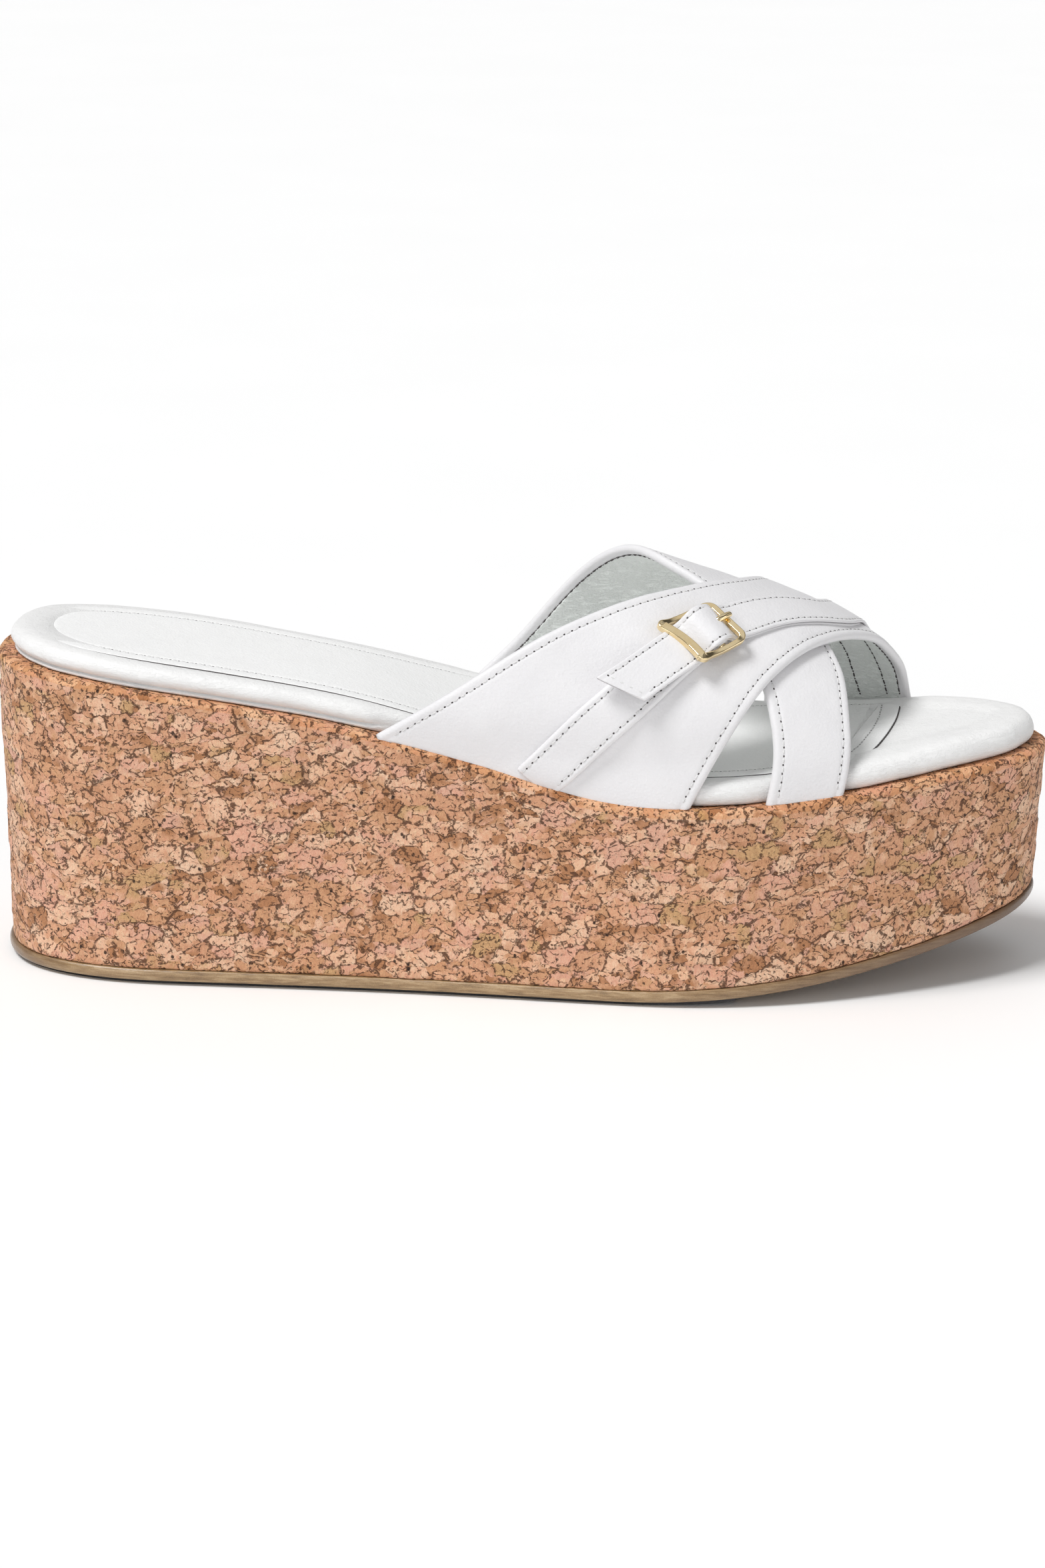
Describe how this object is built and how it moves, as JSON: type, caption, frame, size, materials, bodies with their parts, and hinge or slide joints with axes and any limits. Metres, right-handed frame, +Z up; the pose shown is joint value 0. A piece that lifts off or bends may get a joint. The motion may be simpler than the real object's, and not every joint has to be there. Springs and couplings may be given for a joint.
{
  "type": "wedge sandal",
  "caption": "Right-foot slip-on wedge sandal: cork-wrapped platform, padded footbed, two crossing leather bands and a buckled strap over the instep.",
  "frame": {"origin": "on the ground under the middle of the overall length and width", "axes": "+X towards the toe, +Y towards the inner side of the foot, +Z up"},
  "size_m": [0.2545, 0.0867, 0.0989],
  "materials": {
    "black_rubber": "matte black sheet rubber",
    "tan_sole": "smooth tan unit sole with a rounded edge",
    "light_core": "light moulded core, hidden",
    "cork": "agglomerated cork sheet, flaky, matte",
    "filler": "felt filler sheet, hidden",
    "board": "fibre insole board, hidden",
    "foam": "soft latex foam, hidden",
    "white_leather": "smooth white leather, low sheen",
    "sock_leather": "white lining leather, faint grain",
    "lining_leather": "pale grey-white lining leather, faint grain",
    "gold_metal": "polished pale gold"
  },
  "bodies": {
    "sandal": {"rubber_tread": "black_rubber", "outsole": "tan_sole", "wedge_core": "light_core", "cork_wrap": "cork", "filler_sheet": "filler", "insole_board": "board", "footbed_foam": "foam", "footbed_cover": "white_leather", "sock_liner": "sock_leather", "cross_band": "white_leather", "cross_lining": "lining_leather", "wide_band": "white_leather", "wide_lining": "lining_leather", "buckle_strap": "white_leather", "anchor_strap": "white_leather"},
    "frame": {"buckle_frame": "gold_metal"},
    "prong": {"buckle_prong": "gold_metal"}
  },
  "joints": [
    {"name": "frame_tilt", "type": "hinge", "parent": "sandal", "child": "frame", "pos_m": [0.04294, -0.02792, 0.08864], "axis": [0.6403, -0.4929, -0.5891], "range_deg": [-2, 2]},
    {"name": "prong_lift", "type": "hinge", "parent": "frame", "child": "prong", "pos_m": [0.04294, -0.02792, 0.08864], "axis": [0.6403, -0.4929, -0.5891], "range_deg": [0, 18]}
  ]
}
